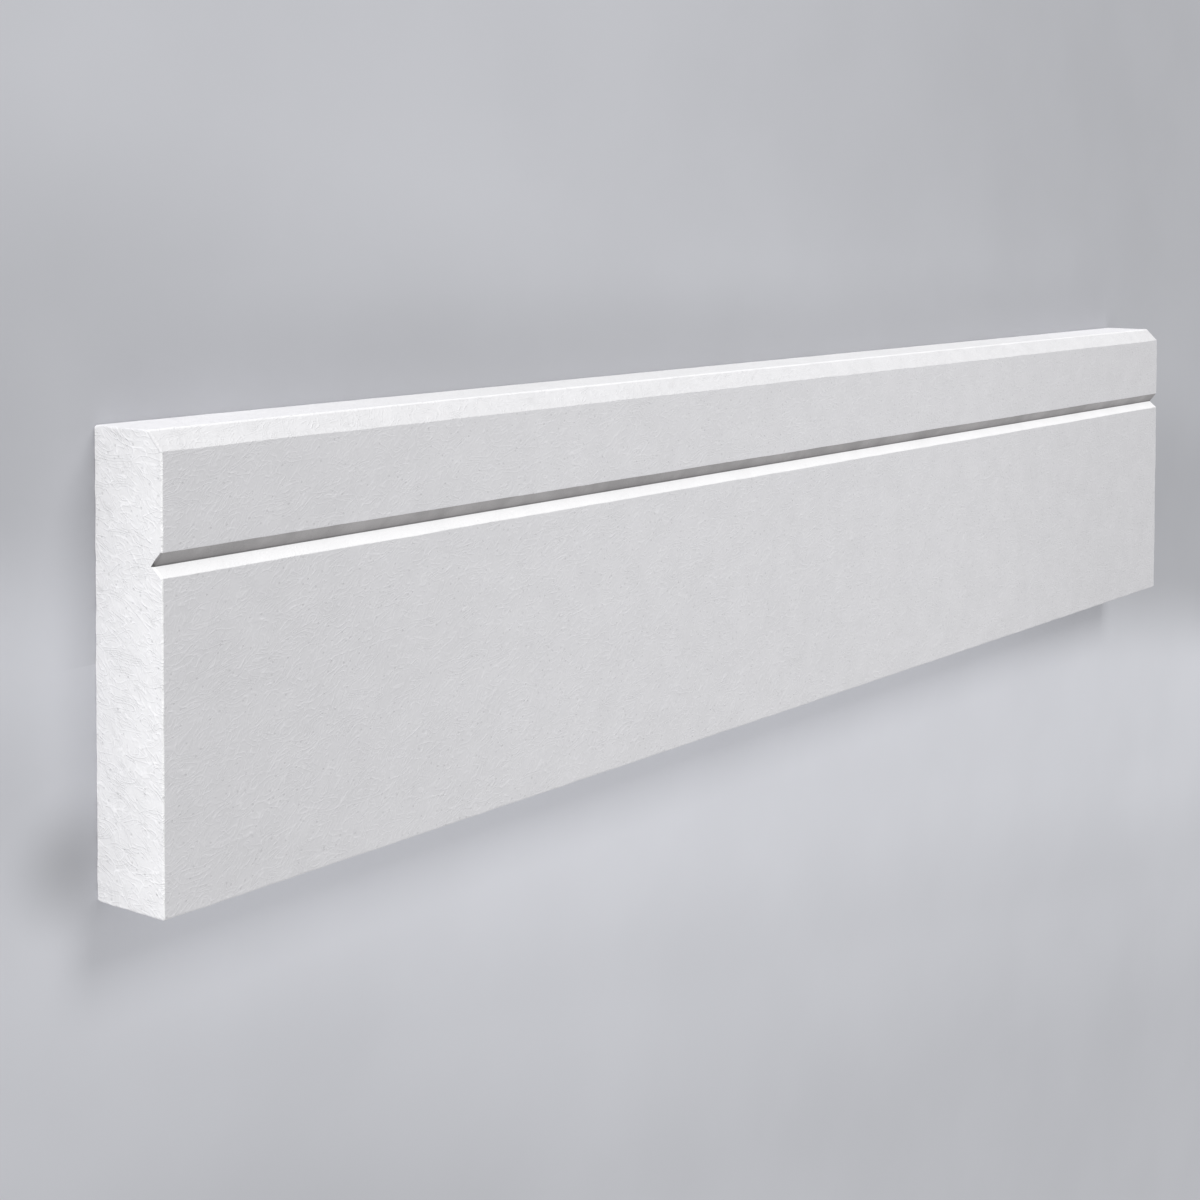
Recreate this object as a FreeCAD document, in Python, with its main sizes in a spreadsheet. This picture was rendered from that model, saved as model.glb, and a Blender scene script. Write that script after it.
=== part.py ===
# Skirting board length: one piece of white primed MDF, with a bevel along its top front edge
# and a V groove along its front face below the bevel. Its ends are sawn square.
#
# The board lies on its back with its front face up. X runs along the length, Y from the foot
# to the top edge, and Z from the back face to the front face. The origin is the centre of the
# back face. Sizes are in millimetres and degrees.
import FreeCAD, Part
import Sketcher
import math
import os

NODE = "skirting_board"

# How near an edge has to be to its place, in millimetres, and a volume to its worked-out value
PLACE_TOLERANCE = 1e-4
VOLUME_TOLERANCE = 1e-6

# The driving dimensions: the alias, its value and what it measures
SIZES = [
    ("board_length", 600, "cut length of the board"),
    ("board_height", 120, "from the foot to the top edge"),
    ("board_thickness", 25, "from the back face to the front face"),
    ("bevel_leg", 5, "the 45 degree bevel, along the top edge and along the front face"),
    ("groove_drop", 33.4, "from the top edge down to the bottom of the groove"),
    ("groove_depth", 3.2, "how deep the groove is cut into the front face"),
    ("groove_upper", 3.8, "height of the groove's upper flank, the wider one"),
    ("groove_lower", 2.6, "height of the groove's lower flank"),
    ("back_arris_radius", 0.8, "rounding of the two long back edges"),
    ("foot_arris_radius", 0.5, "rounding of the long front edge of the foot"),
    ("bevel_arris_radius", 0.3, "easing of the bevel's two long edges"),
    ("groove_arris_radius", 0.3, "easing of the two edges of the groove's mouth"),
]


def make_sheet(doc):
    """The spreadsheet of the driving dimensions, one aliased cell for each."""
    sheet = doc.addObject("Spreadsheet::Sheet", "Sizes")
    for row, (alias, value, meaning) in enumerate(SIZES, start=1):
        sheet.set(f"A{row}", meaning)
        sheet.set(f"B{row}", str(value))
        sheet.setAlias(f"B{row}", alias)
    doc.recompute()
    return sheet


def section_sketch(body, name, corners):
    """A closed outline of straight lines across the board, drawn on the body's YZ plane."""
    sketch = body.newObject("Sketcher::SketchObject", name)
    plane = next(f for f in body.Origin.OriginFeatures if f.Role == "YZ_Plane")
    sketch.AttachmentSupport = [(plane, "")]
    sketch.MapMode = "FlatFace"
    points = [FreeCAD.Vector(y, z, 0) for y, z in corners]
    for i, start in enumerate(points):
        sketch.addGeometry(Part.LineSegment(start, points[(i + 1) % len(points)]), False)
    for i in range(len(points)):
        sketch.addConstraint(Sketcher.Constraint("Coincident", i, 2, (i + 1) % len(points), 1))
    return sketch


def bind(sketch, name, expression, *constraint):
    """Adds one named dimension to a sketch and ties it to the spreadsheet."""
    index = sketch.addConstraint(Sketcher.Constraint(*constraint))
    sketch.renameConstraint(index, name)
    sketch.setExpression(f"Constraints.{name}", expression)


def long_edge(shape, y, z):
    """Name of the edge that runs the board's length at the given Y and Z."""
    for i, edge in enumerate(shape.Edges, start=1):
        middle = edge.CenterOfMass
        along = edge.BoundBox.XLength > edge.BoundBox.DiagonalLength - PLACE_TOLERANCE
        if along and math.hypot(middle.y - y, middle.z - z) < PLACE_TOLERANCE:
            return f"Edge{i}"
    raise ValueError(f"no long edge at Y {y}, Z {z}")


def dress(body, kind, name, places, **sizes):
    """A chamfer or fillet on the long edges at the given (Y, Z) places."""
    base = body.Tip
    feature = body.newObject(f"PartDesign::{kind}", name)
    feature.Base = (base, [long_edge(base.Shape, y, z) for y, z in places])
    for size, expression in sizes.items():
        feature.setExpression(size, expression)
    body.Document.recompute()
    return feature


def make_blank(body, sheet):
    """The square-edged blank: a rectangular section, as long as the board, centred on X."""
    half, thickness = sheet.board_height / 2, sheet.board_thickness
    corners = [(-half, 0), (half, 0), (half, thickness), (-half, thickness)]
    section = section_sketch(body, "BlankSection", corners)
    for kind, line in (("Horizontal", 0), ("Vertical", 1), ("Horizontal", 2), ("Vertical", 3)):
        section.addConstraint(Sketcher.Constraint(kind, line))
    section.addConstraint(Sketcher.Constraint("Symmetric", 0, 1, 0, 2, -1, 1))
    bind(section, "height", "Sizes.board_height", "DistanceX", 0, 1, 0, 2, 2 * half)
    bind(section, "thickness", "Sizes.board_thickness", "DistanceY", 1, 1, 1, 2, thickness)
    blank = body.newObject("PartDesign::Pad", "Blank")
    blank.Profile = section
    blank.SideType = "Symmetric"
    blank.setExpression("Length", "Sizes.board_length")
    body.Document.recompute()
    return blank


def cut_groove(body, sheet):
    """The V groove, cut from the front face along the whole board. Its upper flank is wider."""
    root = sheet.board_height / 2 - sheet.groove_drop
    upper, lower, depth = sheet.groove_upper, sheet.groove_lower, sheet.groove_depth
    front = sheet.board_thickness
    corners = [(root + upper, front), (root - lower, front), (root, front - depth)]
    section = section_sketch(body, "GrooveSection", corners)
    section.addConstraint(Sketcher.Constraint("Horizontal", 0))
    bind(section, "front", "Sizes.board_thickness", "DistanceY", -1, 1, 0, 1, front)
    bind(section, "depth", "Sizes.groove_depth", "DistanceY", 1, 2, 0, 1, depth)
    place = "Sizes.board_height / 2 - Sizes.groove_drop"
    bind(section, "root", place, "DistanceX", -1, 1, 1, 2, root)
    bind(section, "upper", "Sizes.groove_upper", "DistanceX", 1, 2, 0, 1, upper)
    bind(section, "lower", "Sizes.groove_lower", "DistanceX", 0, 2, 1, 2, lower)
    body.Document.recompute()
    groove = body.newObject("PartDesign::Pocket", "Groove")
    groove.Profile = section
    groove.Type = "ThroughAll"
    groove.SideType = "Symmetric"
    body.Document.recompute()
    return groove


def make_board(doc, sheet):
    """The board: blank, bevel and groove, then the easing of its long edges."""
    body = doc.addObject("PartDesign::Body", "Board")
    body.Label = NODE
    top, foot = sheet.board_height / 2, -sheet.board_height / 2
    front = sheet.board_thickness
    groove_top = top - sheet.groove_drop + sheet.groove_upper
    groove_foot = top - sheet.groove_drop - sheet.groove_lower

    blank = make_blank(body, sheet)
    bevel = dress(body, "Chamfer", "Bevel", [(top, front)], Size="Sizes.bevel_leg")
    groove = cut_groove(body, sheet)
    length, mouth = sheet.board_length, groove_top - groove_foot
    check_cut("bevel", blank, bevel, sheet.bevel_leg**2 / 2 * length)
    check_cut("groove", bevel, groove, mouth * sheet.groove_depth / 2 * length)

    eased = [
        ("BackArrises", [(top, 0), (foot, 0)], "Sizes.back_arris_radius"),
        ("FootArris", [(foot, front)], "Sizes.foot_arris_radius"),
        (
            "BevelArrises",
            [(top, front - sheet.bevel_leg), (top - sheet.bevel_leg, front)],
            "Sizes.bevel_arris_radius",
        ),
        (
            "GrooveArrises",
            [(groove_top, front), (groove_foot, front)],
            "Sizes.groove_arris_radius",
        ),
    ]
    for name, places, radius in eased:
        dress(body, "Fillet", name, places, Radius=radius)
    return body


def check_cut(name, before, after, expected):
    """Stops the build if a cut took away other than its own section times the length."""
    removed = before.Shape.Volume - after.Shape.Volume
    if abs(removed - expected) > VOLUME_TOLERANCE * before.Shape.Volume:
        raise ValueError(f"the {name} removed {removed:.1f} mm3, not {expected:.1f}")


def check_document(doc, bodies):
    """Stops the build if any object failed, or a body isn't one valid solid."""
    for item in doc.Objects:
        if {"Invalid", "Error"} & set(item.State):
            raise ValueError(f"{item.Name} failed: {item.State}")
    for body in bodies:
        shape = body.Shape
        if shape.isNull() or not shape.isValid() or len(shape.Solids) != 1:
            raise ValueError(f"{body.Label} isn't one valid solid")


def main():
    doc = FreeCAD.newDocument("SkirtingBoard")
    sheet = make_sheet(doc)
    board = make_board(doc, sheet)
    doc.recompute()
    check_document(doc, [board])
    os.makedirs("parts", exist_ok=True)
    board.Shape.exportStep(f"parts/{board.Label}.step")
    box = board.Shape.BoundBox
    size = f"{box.XLength:.2f} x {box.YLength:.2f} x {box.ZLength:.2f} mm"
    print(f"{board.Label}: {size}, {board.Shape.Volume / 1000:.2f} cm3")


main()
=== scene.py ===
# The looks of the skirting board length: the board with its slightly uneven arrises and sawn
# ends, its coat of white primer with painted light and shade in its colours, and a studio whose
# floor has painted light and shade, seen at the photograph's viewing angle.
#
# Sizes are in metres, in the model's own frame. The board lies on its back: X runs along the
# length, Y from the foot to the top edge, and Z from the back face to the front face.
import math
import random
import bpy
from mathutils import Matrix, Vector, noise


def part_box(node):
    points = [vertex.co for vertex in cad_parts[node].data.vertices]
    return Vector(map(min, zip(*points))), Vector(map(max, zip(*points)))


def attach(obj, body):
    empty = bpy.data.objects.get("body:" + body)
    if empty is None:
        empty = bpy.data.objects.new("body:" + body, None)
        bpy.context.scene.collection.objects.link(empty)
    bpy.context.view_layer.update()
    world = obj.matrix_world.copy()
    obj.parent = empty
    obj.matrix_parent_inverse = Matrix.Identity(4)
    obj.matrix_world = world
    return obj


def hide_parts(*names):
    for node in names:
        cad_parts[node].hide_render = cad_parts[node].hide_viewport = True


MM = 0.001
NODE = "skirting_board"

# The section, at the solid's real sizes
BEVEL_LEG = 5 * MM
GROOVE_DROP = 33.4 * MM
GROOVE_DEPTH = 3.2 * MM
GROOVE_UPPER = 3.8 * MM
GROOVE_LOWER = 2.6 * MM

# How far the long arrises and the sawn ends are eased
BACK_ARRIS = 0.8 * MM
FOOT_ARRIS = 0.5 * MM
BEVEL_ARRIS = 0.3 * MM
GROOVE_ARRIS = 0.3 * MM
GROOVE_ROOT = 0.1 * MM
END_ARRIS = 0.5 * MM

# How finely the mesh divides the rounds, the flats and the length
ARC_STEPS = 4
FLAT_STEP = 3 * MM
STATION_STEP = 1.6 * MM

# How far the front arrises stray from their lines: how much each does, the length of the long
# swells and of the ripples on them, and the ripples' share
BEVEL_TOP_STRAY = 0.10 * MM
BEVEL_FOOT_STRAY = 0.08 * MM
GROOVE_TOP_STRAY = 0.05 * MM
GROOVE_FOOT_STRAY = 0.07 * MM
STRAY_SWELL = 19 * MM
STRAY_RIPPLE = 4 * MM
RIPPLE_SHARE = 0.6

# How unevenly an arris is rounded: by what share of its radius, and the length of the swells
RADIUS_SHARE = 0.25
RADIUS_SWELL = 7 * MM

# Small nicks in each arris: how many, their depth, half their length, the weakest one's share
# of the depth, and the seed of their places
NICKS_PER_ARRIS = 9
NICK_DEPTH = 0.35 * MM
NICK_HALF_LENGTH = 0.9 * MM
NICK_WEAKEST = 0.3
NICK_SEED = 4

# How unevenly a sawn end is eased: by what share, and the size of the swells
END_UNEVENNESS = 0.5
END_WAVE = 2.2 * MM

# Each waver along the board reads the noise in a row of its own: the distance between two rows,
# their level, and the first row of the strays, of the radii and of the ripples
ROW_SPACING = 7.3
ROW_LEVEL = 0.5
STRAY_ROW, RADIUS_ROW, RIPPLE_ROW = 0, 10, 20

# Material slots of the dressed board, in order
FACES, ENDS, BEVEL, GROOVE = range(4)

# The section's corners, round from the back of the foot: the radius that eases each, the slot
# of its arc, and the slot of the flat that comes after it
CORNERS = [
    (BACK_ARRIS, FACES, FACES),
    (BACK_ARRIS, FACES, FACES),
    (BEVEL_ARRIS, FACES, BEVEL),
    (BEVEL_ARRIS, BEVEL, FACES),
    (GROOVE_ARRIS, FACES, GROOVE),
    (GROOVE_ROOT, GROOVE, GROOVE),
    (GROOVE_ARRIS, GROOVE, FACES),
    (FOOT_ARRIS, FACES, FACES),
]

# The primer's strokes: how many times longer than wide they are, then for each set its share
# of the relief, its turn in degrees, an offset, the size of its swells in millimetres, how many
# lines they hold, and the size of the patches that it comes in
STROKE_STRETCH = 2.5
STROKES = [
    (1.0, 0, (0, 0, 0), 5.0, 80, 2.8),
    (0.9, 22, (41, 17, 29), 4.2, 70, 2.2),
    (0.9, -26, (13, 57, 71), 6.0, 90, 3.2),
]

# The part of a wave that stands up as a ridge, and the mean height of the ridges, which is
# taken off them so that they don't raise the surface
RIDGE_BAND = (0.45, 1.0)
RIDGE_MEAN = 0.19

# How the strokes lie on the long faces and on the ends: three angles in degrees, and which of
# them swings from set to set
ACROSS_FACES = ((0, 0, 38), (0, 0, 1))
ACROSS_ENDS = ((0, -64, -90), (0, 1, 0))

# How far the strokes spread: the noise levels at which their patches begin and are whole
EVEN = (0.35, 0.55)
SPARSE = (0.40, 0.56)

# The pinholes: the size of the cells that they are scattered in and their radius, both in
# millimetres, the share of the radius that is full depth, and the share of cells with one
PIT_SPACING = 2.4
PIT_RADIUS = 0.44
PIT_FLOOR = 0.5
PIT_SHARE = 0.95

# The relief's heights in millimetres, and how much darker a pinhole is
STROKE_HEIGHT = 0.035
PIT_DEPTH = 0.06
PIT_SHADE = 0.1
GRAIN_HEIGHT = 0.04
SWELL_HEIGHT = 0.08

# Noises: each one's scale and its detail. The grain, the swells and the clouds are scaled per
# millimetre, and the mottles per metre. Most of a noise lies between two levels, and its tones
# are spread over those
GRAIN = (1.6, 2.0)
SWELL = (0.12, 1.0)
CLOUDS = (0.09, 3.0)
GROOVE_MOTTLE = (90.0, 3.0)
PAPER_MOTTLE = (14.0, 4.0)
NOISE_BAND = (0.3, 0.7)
CLOUD_TONES = (0.97, 1.0)
GROOVE_TONES = (0.9, 1.1)
PAPER_TONES = (0.985, 1.015)

# Colours
WHITE = (0.79, 0.783, 0.80)
# Painted light: the paler middle of the front
MIDDLE_PAINTED_LIGHT = (0.857, 0.85, 0.868)
# Painted shade: the top edge darker away from the sawn ends
TOP_PAINTED_SHADE = (0.736, 0.732, 0.735)
# Painted highlight: the paler line on the arris between the top edge and the bevel
TOP_ARRIS_HIGHLIGHT = (0.85, 0.846, 0.851)
# Painted shade: the bevel darker than the faces' white
BEVEL_SHADED_WHITE = (0.722, 0.717, 0.726)
# Painted light: the sawn ends paler than the faces, and paler from the back to the front
END_BACK_LIT_WHITE = (0.875, 0.869, 0.876)
END_FRONT_LIT_WHITE = (0.95, 0.944, 0.949)
# Painted highlight on the sawn ends' eased edges
END_ARRIS_HIGHLIGHT = (1.0, 0.995, 1.0)
# Painted light: the groove's lower flank paler than the faces
GROOVE_LIT_WHITE = (0.852, 0.848, 0.855)
# Painted shade on the groove's upper flank, from the mouth to the root
GROOVE_MOUTH_SHADE = (0.42, 0.406, 0.408)
GROOVE_DEEP_SHADE = (0.202, 0.192, 0.194)
GROOVE_ROOT_SHADE = (0.12, 0.117, 0.117)

# The front has a painted pool of light, palest round a place along X: the distances from it
# where the pale part begins and is whole, and how far below the front face it is whole
PALE_PLACE = -20 * MM
PALE_REACH = (310 * MM, 100 * MM)
PALE_DEPTH = 1 * MM

# The top edge's painted shade, darker away from the ends: how far below that edge it begins
# and is whole, and how far in from the ends it is whole. The painted highlight, a paler line on
# its arris: the distances where it begins and is whole
TOP_BAND = (0.5 * MM, 0.1 * MM)
TOP_REACH = 150 * MM
TOP_ARRIS_BAND = (0.55 * MM, 0.25 * MM)

# The eased edge of a sawn end has a painted highlight, paler than the end: how far in from the
# end that begins and is whole
END_BAND = (0.03 * MM, 0.12 * MM)

# The groove's painted shade on its upper flank: the height of the darkest part at its root, how
# far below the front face its grey begins and is whole, and how softly its two flanks meet
ROOT_HEIGHT = 0.6 * MM
MOUTH_BAND = (0.01 * MM, 0.1 * MM)
ROOT_BLEND = 0.1 * MM

# How matte the primer and the paper are
PRIMER_ROUGHNESS = 0.6
PRIMER_SPECULAR = 0.35
PAPER_ROUGHNESS = 0.9
PAPER_SPECULAR = 0.1

# The floor's paper: its tint, the direction that its tone changes along, and its tone at places
# along that, from in front of the board to behind it: painted light makes it pale in front of
# the board's foot, and painted shade darkens it behind the board. Soft pools of painted shade
# change it further, the two beside the near end a painted shadow of the board: each has its
# middle, its radius and how much it darkens the paper there. Further out the paper is plain: its
# tone, the middle that this is measured from, and the distances where it begins and is whole.
# Last comes the length of its sides
FLOOR_TINT = (1.0, 1.010, 1.062)
FLOOR_SLOPE = (0.158, 1.0, 0.0)
# Painted light in front of the board's foot and painted shade behind the board
FLOOR_PAINTED_TONES = [
    (-0.33, 0.645),
    (-0.24, 0.655),
    (-0.16, 0.735),
    (-0.10, 0.835),
    (-0.055, 0.87),
    (-0.006, 0.60),
    (0.04, 0.595),
    (0.10, 0.675),
    (0.17, 0.67),
]
# Pools of painted shade on the paper
FLOOR_SHADE_POOLS = [
    ((-0.41, -0.02, 0.0), 0.17, 0.24),
    # Painted shadow of the board's near end
    ((-0.316, -0.025, 0.0), 0.064, 0.16),
    ((0.345, 0.185, 0.0), 0.563, 0.188),
    ((-0.272, -0.247, 0.0), 0.194, 0.20),
    # Painted shadow beside the near end's foot
    ((-0.309, -0.049, 0.0), 0.022, 0.30),
]
FLOOR_PLAIN = 0.69
FLOOR_MIDDLE = (0.06, -0.02, 0.0)
FLOOR_REACH = (0.38, 0.8)
FLOOR_SIZE = 40.0

# The white top edge lights the paper beside it, and the paper is darker there to make up for
# that: by how much, how far out, and how softly that ends at the board's ends
GLOW_SHADE = 0.135
GLOW_REACH = 38 * MM
GLOW_FADE = 30 * MM

# The photograph's camera: its lens in millimetres, its shift as a share of the picture, its
# place and its turns in degrees
LENS = 64.16
LENS_SHIFT = -0.2512
CAMERA_PLACE = Vector((-0.3446, -0.3973, 0.1727))
CAMERA_YAW = 52.56
CAMERA_PITCH = -2.257
CAMERA_ROLL = 0.177

# Light: an even world, a soft key lamp above, and low even fills from three sides. The key has
# its place, its width and its power in watts. Each fill has where it comes from and its strength
# in watts per square metre, and it casts no shadow
WORLD_COLOUR = (0.985, 0.99, 1.0)
WORLD_STRENGTH = 0.55
BACKDROP_COLOUR = (0.47, 0.48, 0.52)
KEY_PLACE = (0.25, 1.55, 1.75)
KEY_SIZE = 0.9
KEY_POWER = 14.2
FILLS = [
    ("top_fill", (0.1, 1.0, 0.06), 0.8),
    ("end_fill", (-0.81, 0.58, 0.06), 1.68),
    ("foot_fill", (0.6, -0.8, 0.06), 0.35),
]


# Geometry of the board


def waver(x, length, row):
    """Smooth noise along the board, about -1 to 1, with swells of the given length."""
    return 2 * noise.noise(Vector((x / length, ROW_SPACING * row, ROW_LEVEL)))


def corners_of(lo, hi, x):
    """The section's corners at X as (Y, Z), round from the back of the foot."""
    root = hi.y - GROOVE_DROP

    def stray(most, row):
        ripple = RIPPLE_SHARE * waver(x, STRAY_RIPPLE, RIPPLE_ROW + row)
        return most * (waver(x, STRAY_SWELL, STRAY_ROW + row) + ripple)

    return [
        Vector((lo.y, lo.z)),
        Vector((hi.y, lo.z)),
        Vector((hi.y, hi.z - BEVEL_LEG + stray(BEVEL_TOP_STRAY, 0))),
        Vector((hi.y - BEVEL_LEG + stray(BEVEL_FOOT_STRAY, 1), hi.z)),
        Vector((root + GROOVE_UPPER + stray(GROOVE_TOP_STRAY, 2), hi.z)),
        Vector((root, hi.z - GROOVE_DEPTH)),
        Vector((root - GROOVE_LOWER + stray(GROOVE_FOOT_STRAY, 3), hi.z)),
        Vector((lo.y, hi.z)),
    ]


def inset(points, depth):
    """An outline's corners moved inwards, every edge by the same depth."""
    moved = []
    for i, point in enumerate(points):
        before = (point - points[i - 1]).normalized()
        after = (points[(i + 1) % len(points)] - point).normalized()
        normals = Vector((-before.y, before.x)), Vector((-after.y, after.x))
        shared = normals[0] + normals[1]
        moved.append(point + shared * (depth / (1 + normals[0].dot(normals[1]))))
    return moved


def round_corner(before, corner, after, radius):
    """Points of the arc that eases a corner, from one side to the other."""
    back = (before - corner).normalized()
    on = (after - corner).normalized()
    half = back.angle(on) / 2
    middle = corner + (back + on).normalized() * (radius / math.sin(half))
    start = corner + back * (radius / math.tan(half)) - middle
    end = corner + on * (radius / math.tan(half)) - middle
    sweep = start.angle(end)
    arc = []
    for k in range(ARC_STEPS + 1):
        share = k / ARC_STEPS
        weights = math.sin((1 - share) * sweep), math.sin(share * sweep)
        arc.append(middle + (start * weights[0] + end * weights[1]) / math.sin(sweep))
    return arc


def outline(corners, radii, divisions):
    """Points round one section: an arc at each corner and evenly divided flats between."""
    count = len(corners)
    arcs = []
    for i in range(count):
        arcs.append(round_corner(corners[i - 1], corners[i], corners[(i + 1) % count], radii[i]))
    points = []
    for i in range(count):
        points += arcs[i]
        start, end = arcs[i][-1], arcs[(i + 1) % count][0]
        for k in range(1, divisions[i]):
            points.append(start.lerp(end, k / divisions[i]))
    return points


def strip_slots(divisions):
    """The material slot of each strip of faces, in the order of an outline's points."""
    slots = []
    for (_, arc, flat), count in zip(CORNERS, divisions):
        slots += [arc] * ARC_STEPS + [flat] * count
    return slots


def make_nicks(length):
    """Where each arris has small nicks: each nick's place along X and its strength."""
    chance = random.Random(NICK_SEED)
    nicks = []
    for _ in CORNERS:
        places = [chance.uniform(-length / 2, length / 2) for _ in range(NICKS_PER_ARRIS)]
        nicks.append([(x, chance.uniform(NICK_WEAKEST, 1)) for x in places])
    return nicks


def eased_radius(arris, x, nicks):
    """An arris's radius at X, uneven from the primer and larger where it is nicked."""
    radius = CORNERS[arris][0]
    eased = radius * (1 + RADIUS_SHARE * waver(x, RADIUS_SWELL, RADIUS_ROW + arris))
    for place, strength in nicks[arris]:
        near = max(0.0, 1 - ((x - place) / NICK_HALF_LENGTH) ** 2)
        eased += NICK_DEPTH * strength * near
    return eased


def ring_at(lo, hi, x, depth, divisions, nicks):
    """The section's outline at X, with every edge moved inwards by the same depth."""
    radii = [eased_radius(i, x, nicks) for i in range(len(CORNERS))]
    return outline(inset(corners_of(lo, hi, x), depth), radii, divisions)


def end_rings(lo, hi, end, inwards, divisions, nicks):
    """Rings of points that ease a sawn end unevenly, from its face to where it is whole."""
    whole = ring_at(lo, hi, end, 0.0, divisions, nicks)
    drawn = ring_at(lo, hi, end, END_ARRIS, divisions, nicks)
    rings = []
    for k in range(ARC_STEPS):
        turn = math.radians(90) * k / ARC_STEPS
        ring = []
        for out, inner in zip(whole, drawn):
            place = Vector((end, out.x, out.y)) / END_WAVE
            share = 1 + END_UNEVENNESS * 2 * noise.noise(place)
            point = out.lerp(inner, share * (1 - math.sin(turn)))
            along = END_ARRIS * share * (1 - math.cos(turn))
            ring.append((end + inwards * along, point.x, point.y))
        rings.append(ring)
    return rings


def board_rings(lo, hi, divisions):
    """All the rings of points along the board, from one sawn end to the other."""
    nicks = make_nicks(hi.x - lo.x)
    start, end = lo.x + END_ARRIS, hi.x - END_ARRIS
    count = round((end - start) / STATION_STEP)
    rings = end_rings(lo, hi, lo.x, 1, divisions, nicks)
    for k in range(count + 1):
        x = start + (end - start) * k / count
        ring = ring_at(lo, hi, x, 0.0, divisions, nicks)
        rings.append([(x, point.x, point.y) for point in ring])
    rings += reversed(end_rings(lo, hi, hi.x, -1, divisions, nicks))
    return rings


def make_board(lo, hi):
    """The dressed board: rings of points along its length, closed by its sawn ends."""
    plain = corners_of(lo, hi, 0.0)
    runs = [(plain[(i + 1) % len(plain)] - corner).length for i, corner in enumerate(plain)]
    divisions = [max(1, round(run / FLAT_STEP)) for run in runs]
    rings = board_rings(lo, hi, divisions)

    around = len(rings[0])
    last = around * (len(rings) - 1)
    faces = [tuple(reversed(range(around))), tuple(range(last, last + around))]
    slots = [ENDS, ENDS]
    eased = around * ARC_STEPS
    for first in range(0, last, around):
        rounding = first < eased or first >= last - eased
        for i, slot in enumerate(strip_slots(divisions)):
            j = (i + 1) % around
            faces.append((first + i, first + j, first + around + j, first + around + i))
            slots.append(ENDS if rounding and slot == FACES else slot)
    mesh = bpy.data.meshes.new("primed_board")
    mesh.from_pydata([point for ring in rings for point in ring], [], faces)
    mesh.polygons.foreach_set("material_index", slots)
    mesh.update()
    board = bpy.data.objects.new("primed_board", mesh)
    bpy.context.collection.objects.link(board)
    return board


# Materials


class Graph:
    """A short way to add shader nodes and link them: a socket or a value for each input."""

    def __init__(self, tree):
        self.tree = tree

    def add(self, kind, inputs=(), **settings):
        node = self.tree.nodes.new(kind)
        for name, value in settings.items():
            setattr(node, name, value)
        for key, value in dict(inputs).items():
            if isinstance(value, bpy.types.NodeSocket):
                self.tree.links.new(value, node.inputs[key])
            else:
                node.inputs[key].default_value = value
        return node

    def math(self, operation, *values):
        return self.add("ShaderNodeMath", enumerate(values), operation=operation).outputs[0]

    def vector(self, operation, output, inputs):
        """One output of a node that works on vectors."""
        return self.add("ShaderNodeVectorMath", inputs, operation=operation).outputs[output]

    def along(self, place, direction):
        return self.vector("DOT_PRODUCT", "Value", {0: place, 1: direction})

    def distance(self, place, other):
        return self.vector("DISTANCE", "Value", {0: place, 1: other})

    def scaled(self, colour, factor):
        """A colour or a place times a number."""
        return self.vector("SCALE", "Vector", {0: colour, "Scale": factor})

    def where(self):
        """The place on the object, in its own frame."""
        return self.add("ShaderNodeTexCoord").outputs["Object"]

    def parts(self, place):
        """A place's X, Y and Z, by their names."""
        return self.add("ShaderNodeSeparateXYZ", {0: place}).outputs

    def noise(self, place, scale, detail=1.0):
        inputs = {"Vector": place, "Scale": scale, "Detail": detail, "Roughness": 0.5}
        return self.add("ShaderNodeTexNoise", inputs).outputs["Fac"]

    def ramp(self, value, low, high, to_low=0.0, to_high=1.0, interpolation_type="SMOOTHSTEP"):
        """A step between two values of the input, soft unless told otherwise."""
        inputs = {
            "Value": value,
            "From Min": low,
            "From Max": high,
            "To Min": to_low,
            "To Max": to_high,
        }
        node = self.add("ShaderNodeMapRange", inputs, interpolation_type=interpolation_type)
        return node.outputs[0]

    def mottle(self, place, pattern, tones):
        """Soft noise of the given scale and detail, between two tones."""
        return self.ramp(self.noise(place, *pattern), *NOISE_BAND, *tones)

    def mix(self, share, first, second):
        """A colour between two, each a colour or a socket that gives one."""
        node = self.add("ShaderNodeMix", {0: share}, data_type="RGBA")
        for key, value in ((6, first), (7, second)):
            if isinstance(value, bpy.types.NodeSocket):
                self.tree.links.new(value, node.inputs[key])
            else:
                node.inputs[key].default_value = (*value, 1)
        return node.outputs[2]


def strokes(graph, place, turn, offset, swell, count, patch, cover):
    """Fine long ridges that mostly run one way: level lines of a noise, broken up by another.

    turn is how the ridges lie, as three angles; they run along its own X axis.
    """
    inputs = {
        "Vector": place,
        "Location": offset,
        "Rotation": turn,
        "Scale": (STROKE_STRETCH, 1.0, 1.0),
    }
    moved = graph.add("ShaderNodeMapping", inputs, vector_type="TEXTURE").outputs[0]
    levels = graph.math("SINE", graph.math("MULTIPLY", graph.noise(moved, 1 / swell), count))
    ridges = graph.ramp(levels, *RIDGE_BAND)
    gaps = graph.ramp(graph.noise(moved, 1 / patch), *cover)
    return graph.math("MULTIPLY", graph.math("SUBTRACT", ridges, RIDGE_MEAN), gaps)


def pits(graph, place):
    """Small round pinholes, one in most of the cells of a scattered pattern."""
    inputs = {"Vector": place, "Scale": 1 / PIT_SPACING}
    cells = graph.add("ShaderNodeTexVoronoi", inputs, feature="F1")
    rim = PIT_RADIUS / PIT_SPACING
    holes = graph.ramp(cells.outputs["Distance"], rim, PIT_FLOOR * PIT_RADIUS / PIT_SPACING)
    tint = graph.add("ShaderNodeSeparateColor", {"Color": cells.outputs["Color"]}).outputs[0]
    chosen = graph.math("LESS_THAN", tint, PIT_SHARE)
    return graph.math("MULTIPLY", holes, chosen)


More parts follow.
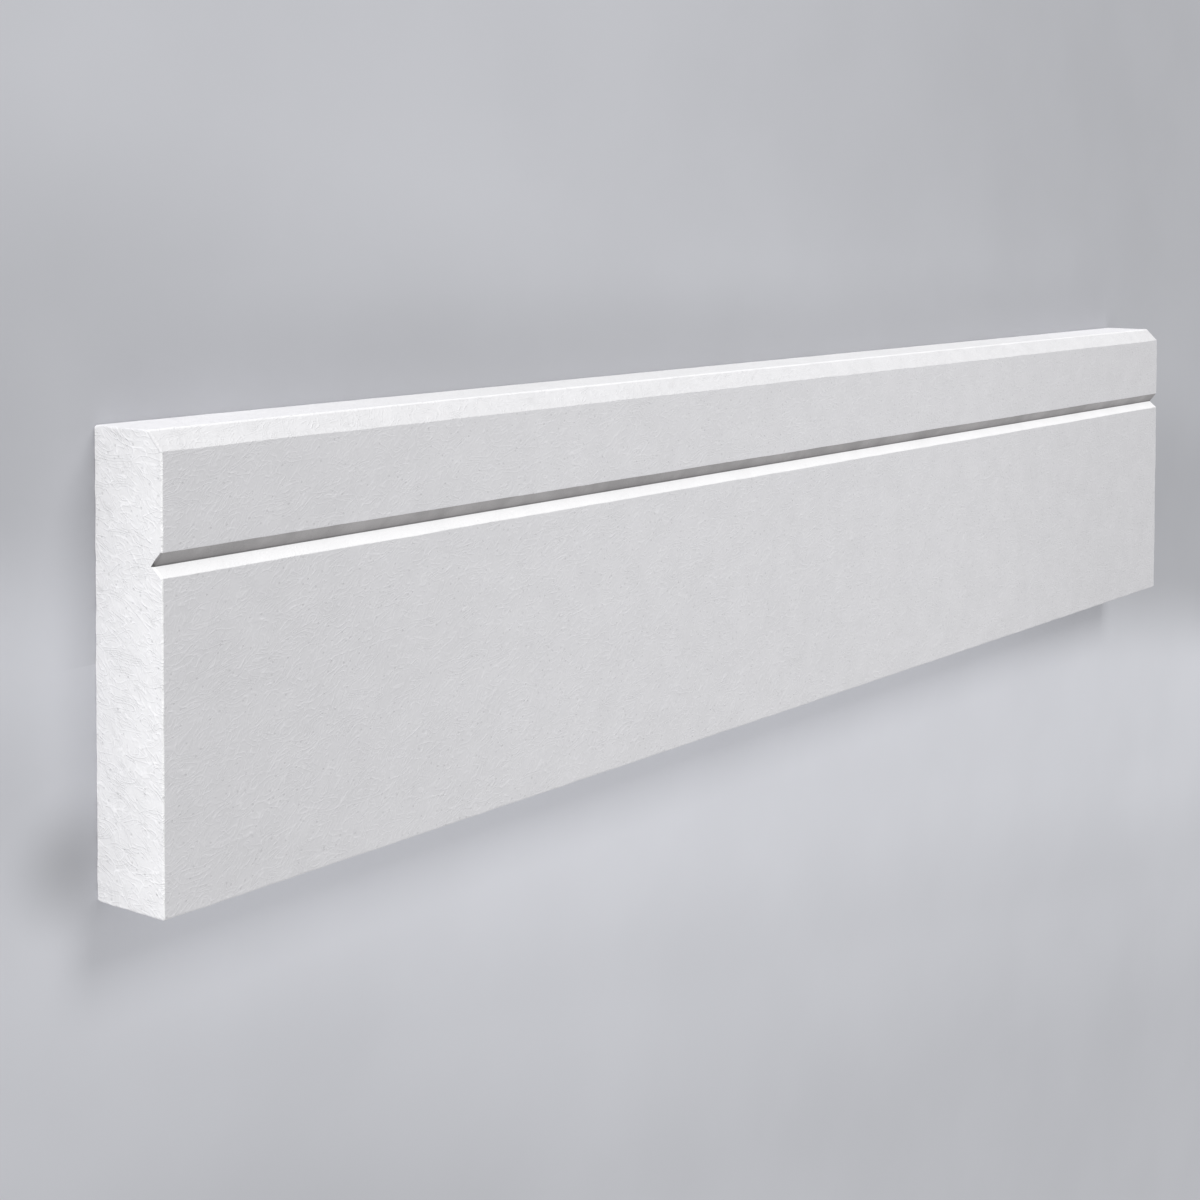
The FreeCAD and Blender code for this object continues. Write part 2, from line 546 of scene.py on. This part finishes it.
def near_top(graph, parts, hi):
    """Where the board's top edge is: 1 on it, and 0 on the faces beside it."""
    begins, whole = TOP_BAND
    return graph.ramp(parts["Y"], hi.y - begins, hi.y - whole)


def top_arris_highlight(graph, parts, hi):
    """Where the arris between the top edge and the bevel is: a painted highlight, a paler line
    along the board.
    """
    across = graph.math("ABSOLUTE", graph.math("SUBTRACT", parts["Y"], hi.y))
    down = graph.math("ABSOLUTE", graph.math("SUBTRACT", parts["Z"], hi.z - BEVEL_LEG))
    return graph.ramp(graph.math("MAXIMUM", across, down), *TOP_ARRIS_BAND)


def face_colour(graph, where, lo, hi):
    """The long faces' primer: painted light makes the middle of the front paler, and painted
    shade makes the top darker.

    The arris between the top edge and the bevel has a painted highlight, a paler line.
    """
    parts = graph.parts(where)
    # Painted light: the front is paler round a place along X
    away = graph.math("ABSOLUTE", graph.math("SUBTRACT", parts["X"], PALE_PLACE))
    middle = graph.ramp(away, *PALE_REACH)
    front = graph.ramp(parts["Z"], hi.z - BEVEL_LEG, hi.z - PALE_DEPTH)
    white = graph.mix(graph.math("MULTIPLY", middle, front), WHITE, MIDDLE_PAINTED_LIGHT)
    # Painted shade: the top edge is darker away from the sawn ends
    inward = graph.ramp(graph.math("ABSOLUTE", parts["X"]), hi.x, hi.x - TOP_REACH)
    on_top = graph.math("MULTIPLY", near_top(graph, parts, hi), inward)
    white = graph.mix(on_top, white, TOP_PAINTED_SHADE)
    # Painted highlight: a paler line along the arris between the top edge and the bevel
    return graph.mix(top_arris_highlight(graph, parts, hi), white, TOP_ARRIS_HIGHLIGHT)


def bevel_colour(graph, where, lo, hi):
    """The bevel's primer: painted shade darker than the faces, and a painted highlight at the
    arris above it.
    """
    parts = graph.parts(where)
    return graph.mix(top_arris_highlight(graph, parts, hi), BEVEL_SHADED_WHITE, TOP_ARRIS_HIGHLIGHT)


def groove_colour(graph, where, lo, hi):
    """The groove's primer: white on its lower flank, paler than the faces as painted light, and
    grey on the upper one as painted shade.

    The painted shade deepens from the mouth to the root, and is softly mottled.
    """
    parts = graph.parts(where)
    root = hi.y - GROOVE_DROP
    bottom = hi.z - GROOVE_DEPTH
    depth = graph.ramp(parts["Z"], hi.z, bottom, interpolation_type="LINEAR")
    # Painted shade on the upper flank, darkest at the root
    shade = graph.mix(graph.math("MULTIPLY", depth, depth), GROOVE_MOUTH_SHADE, GROOVE_DEEP_SHADE)
    deepest = graph.ramp(parts["Z"], bottom + ROOT_HEIGHT, bottom)
    shade = graph.mix(deepest, shade, GROOVE_ROOT_SHADE)
    shade = graph.scaled(shade, graph.mottle(where, GROOVE_MOTTLE, GROOVE_TONES))
    begins, whole = MOUTH_BAND
    below = graph.ramp(parts["Z"], hi.z - begins, hi.z - whole)
    upper = graph.ramp(parts["Y"], root - ROOT_BLEND, root + ROOT_BLEND)
    return graph.mix(graph.math("MULTIPLY", upper, below), GROOVE_LIT_WHITE, shade)


def end_colour(graph, where, lo, hi):
    """The sawn ends' primer with painted light: paler than the faces and from the back to the
    front, and palest on the eased edge, a painted highlight.

    Along the top the eased edge has the colour of the top beside it.
    """
    parts = graph.parts(where)
    face = graph.mix(graph.ramp(parts["Z"], lo.z, hi.z), END_BACK_LIT_WHITE, END_FRONT_LIT_WHITE)
    outwards = graph.math("ABSOLUTE", parts["X"])
    begins, whole = END_BAND
    edge = graph.ramp(outwards, hi.x - begins, hi.x - whole)
    # Painted highlight on the eased edge of the end
    white = graph.mix(edge, face, END_ARRIS_HIGHLIGHT)
    return graph.mix(near_top(graph, parts, hi), white, WHITE)


def primer(name, colour_of, lie, cover, relief, crest, pitting, lo, hi):
    """Matte white primer with the fine wormy relief and pinholes of coated fibreboard.

    colour_of draws its colour. lie turns the relief's strokes, cover spreads them and relief
    scales their height. crest is how much paler they are, and pitting scales the pinholes'
    depth and shade. Lengths inside are millimetres.
    """
    material = bpy.data.materials.new(name)
    material.use_nodes = True
    graph = Graph(material.node_tree)
    surface = material.node_tree.nodes["Principled BSDF"]
    where = graph.where()
    place = graph.scaled(where, 1 / MM)

    lines = 0.0
    for strength, spread, offset, swell, count, patch in STROKES:
        turn = [math.radians(angle + spread * swings) for angle, swings in zip(*lie)]
        drawn = strokes(graph, place, turn, offset, swell, count, patch, cover)
        lines = graph.math("MULTIPLY_ADD", drawn, strength, lines)
    holes = pits(graph, place)
    height = graph.math("MULTIPLY", lines, STROKE_HEIGHT * relief)
    height = graph.math("MULTIPLY_ADD", holes, -PIT_DEPTH * pitting, height)
    height = graph.math("MULTIPLY_ADD", graph.noise(place, *GRAIN), GRAIN_HEIGHT, height)
    height = graph.math("MULTIPLY_ADD", graph.noise(place, *SWELL), SWELL_HEIGHT, height)
    bump = graph.add("ShaderNodeBump", {"Height": height, "Strength": 1.0, "Distance": MM})

    tone = graph.mottle(place, CLOUDS, CLOUD_TONES)
    tone = graph.math("MULTIPLY_ADD", lines, crest, tone)
    tone = graph.math("MULTIPLY_ADD", holes, -PIT_SHADE * pitting, tone)
    colour = graph.scaled(colour_of(graph, where, lo, hi), tone)
    graph.tree.links.new(colour, surface.inputs["Base Color"])
    graph.tree.links.new(bump.outputs[0], surface.inputs["Normal"])
    surface.inputs["Roughness"].default_value = PRIMER_ROUGHNESS
    surface.inputs["Specular IOR Level"].default_value = PRIMER_SPECULAR
    return material


# The board's coats of primer, in the order of their slots: each one's name, what colours it, how
# its strokes lie and how far they spread, how high they are, how much paler they are, and how
# strong the pinholes are. The height and the strength are shares of the relief's heights above
# Each coat's colour also holds painted light and shade on the part of the board that it covers
COATS = [
    ("primer_faces_painted_light_and_shade", face_colour, ACROSS_FACES, EVEN, 1.1, 0.03, 1.0),
    ("primer_ends_painted_light", end_colour, ACROSS_ENDS, SPARSE, 2.1, 0.065, 1.3),
    ("primer_bevel_painted_light_and_shade", bevel_colour, ACROSS_FACES, EVEN, 1.2, 0.03, 0.5),
    ("primer_groove_painted_light_and_shade", groove_colour, ACROSS_FACES, EVEN, 0.6, 0.01, 0.3),
]


# The studio


def slope_tones(graph, where):
    """The paper's colour along the floor's slope, from in front of the board to behind it:
    painted light in front of the foot and painted shade behind the board.
    """
    first, last = FLOOR_PAINTED_TONES[0][0], FLOOR_PAINTED_TONES[-1][0]
    along = graph.along(where, FLOOR_SLOPE)
    share = graph.ramp(along, first, last, interpolation_type="LINEAR")
    tones = graph.add("ShaderNodeValToRGB", {0: share})
    steps = tones.color_ramp
    steps.interpolation = "EASE"
    for place, _ in FLOOR_PAINTED_TONES[1:-1]:
        steps.elements.new((place - first) / (last - first))
    for step, (_, tone) in zip(steps.elements, FLOOR_PAINTED_TONES):
        step.color = (*(tint * tone for tint in FLOOR_TINT), 1)
    return tones.outputs[0]


def glow_tone(graph, where, hi):
    """The paper's painted shade beside the board's top edge, where it is darker."""
    parts = graph.parts(where)
    near = graph.ramp(parts["Y"], hi.y + GLOW_REACH, hi.y)
    near = graph.math("MULTIPLY", near, graph.math("GREATER_THAN", parts["Y"], 0.0))
    outwards = graph.math("ABSOLUTE", parts["X"])
    beside = graph.ramp(outwards, hi.x + GLOW_FADE / 2, hi.x - GLOW_FADE / 2)
    return graph.math("MULTIPLY_ADD", graph.math("MULTIPLY", near, beside), -GLOW_SHADE, 1.0)


def make_floor(hi):
    """A pale paper floor with painted light and shade: a broad soft change of tone from behind
    to in front, pools of painted shade and a painted shadow, and painted shade beside the top
    edge.
    """
    bpy.ops.mesh.primitive_plane_add(size=FLOOR_SIZE)
    floor = bpy.context.object
    floor.name = "floor"
    material = bpy.data.materials.new("floor_paper")
    material.use_nodes = True
    graph = Graph(material.node_tree)
    surface = material.node_tree.nodes["Principled BSDF"]
    where = graph.where()
    tone = graph.mottle(where, PAPER_MOTTLE, PAPER_TONES)
    # Pools of painted shade, two of them a painted shadow of the board
    for middle, radius, shade in FLOOR_SHADE_POOLS:
        pool = graph.ramp(graph.distance(where, middle), 0.0, radius, 1.0 - shade, 1.0)
        tone = graph.math("MULTIPLY", tone, pool)
    tone = graph.math("MULTIPLY", tone, glow_tone(graph, where, hi))
    drawn = graph.scaled(slope_tones(graph, where), tone)
    plain = tuple(tint * FLOOR_PLAIN for tint in FLOOR_TINT)
    away = graph.ramp(graph.distance(where, FLOOR_MIDDLE), *FLOOR_REACH)
    graph.tree.links.new(graph.mix(away, drawn, plain), surface.inputs["Base Color"])
    surface.inputs["Roughness"].default_value = PAPER_ROUGHNESS
    surface.inputs["Specular IOR Level"].default_value = PAPER_SPECULAR
    floor.data.materials.append(material)


def make_light(name, kind, place, energy):
    """A light of the given kind that shines from its place towards the middle of the board."""
    light = bpy.data.lights.new(name, kind)
    light.energy = energy
    holder = bpy.data.objects.new(name, light)
    holder.location = place
    holder.rotation_euler = (-Vector(place)).to_track_quat("-Z", "Y").to_euler()
    bpy.context.collection.objects.link(holder)
    return light


def make_lamps():
    """A square soft key lamp, and fills that shine evenly all along the board."""
    key = make_light("key_lamp", "AREA", KEY_PLACE, KEY_POWER)
    key.size = KEY_SIZE
    for name, place, strength in FILLS:
        fill = make_light(name, "SUN", place, strength)
        fill.use_shadow = False


def make_world():
    """An even soft sky; the camera sees a plain backdrop in its place."""
    world = bpy.data.worlds.new("studio")
    bpy.context.scene.world = world
    world.use_nodes = True
    graph = Graph(world.node_tree)
    surface = world.node_tree.nodes["Background"]
    surface.inputs["Color"].default_value = (*WORLD_COLOUR, 1)
    surface.inputs["Strength"].default_value = WORLD_STRENGTH

    colour = {"Color": (*BACKDROP_COLOUR, 1), "Strength": 1.0}
    backdrop = graph.add("ShaderNodeBackground", colour)
    seen = graph.add("ShaderNodeLightPath").outputs["Is Camera Ray"]
    inputs = {0: seen, 1: surface.outputs[0], 2: backdrop.outputs[0]}
    mixed = graph.add("ShaderNodeMixShader", inputs)
    output = world.node_tree.nodes["World Output"]
    world.node_tree.links.new(mixed.outputs[0], output.inputs["Surface"])


def turned(degrees, axis):
    """A rotation about one axis of the frame."""
    return Matrix.Rotation(math.radians(degrees), 4, axis)


def make_camera(lo, hi):
    """The photograph's camera, fitted to the board as it stands on its foot there.

    Its place is given from the foot of the near end's front edge: along the board, away from
    the camera and up. The board then lies down on its back, and the camera turns with it.
    """
    data = bpy.data.cameras.new("camera")
    data.lens = LENS
    data.shift_y = LENS_SHIFT
    camera = bpy.data.objects.new("camera", data)
    bpy.context.collection.objects.link(camera)
    heading, level = turned(-CAMERA_YAW, "Z"), turned(90, "X")
    pitch, roll = turned(CAMERA_PITCH, "X"), turned(CAMERA_ROLL, "Z")
    standing = Matrix.Translation(CAMERA_PLACE) @ heading @ level @ pitch @ roll
    foot = Matrix.Translation((lo.x, lo.y, hi.z))
    camera.matrix_world = foot @ turned(-90, "X") @ standing
    bpy.context.scene.camera = camera


# The dressed board in its studio

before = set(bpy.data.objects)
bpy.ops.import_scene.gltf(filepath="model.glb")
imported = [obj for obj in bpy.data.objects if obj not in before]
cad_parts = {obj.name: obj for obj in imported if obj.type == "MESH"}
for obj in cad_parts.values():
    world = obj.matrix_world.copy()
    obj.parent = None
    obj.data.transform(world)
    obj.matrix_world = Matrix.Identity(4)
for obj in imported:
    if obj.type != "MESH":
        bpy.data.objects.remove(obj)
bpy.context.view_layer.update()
lo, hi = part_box(NODE)
lo, hi = Vector(lo), Vector(hi)
board = make_board(lo, hi)
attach(board, "root")
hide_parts(NODE)
for coat in COATS:
    board.data.materials.append(primer(*coat, lo, hi))

make_floor(hi)
make_lamps()
make_world()
make_camera(lo, hi)

bpy.context.scene.view_settings.view_transform = "Standard"
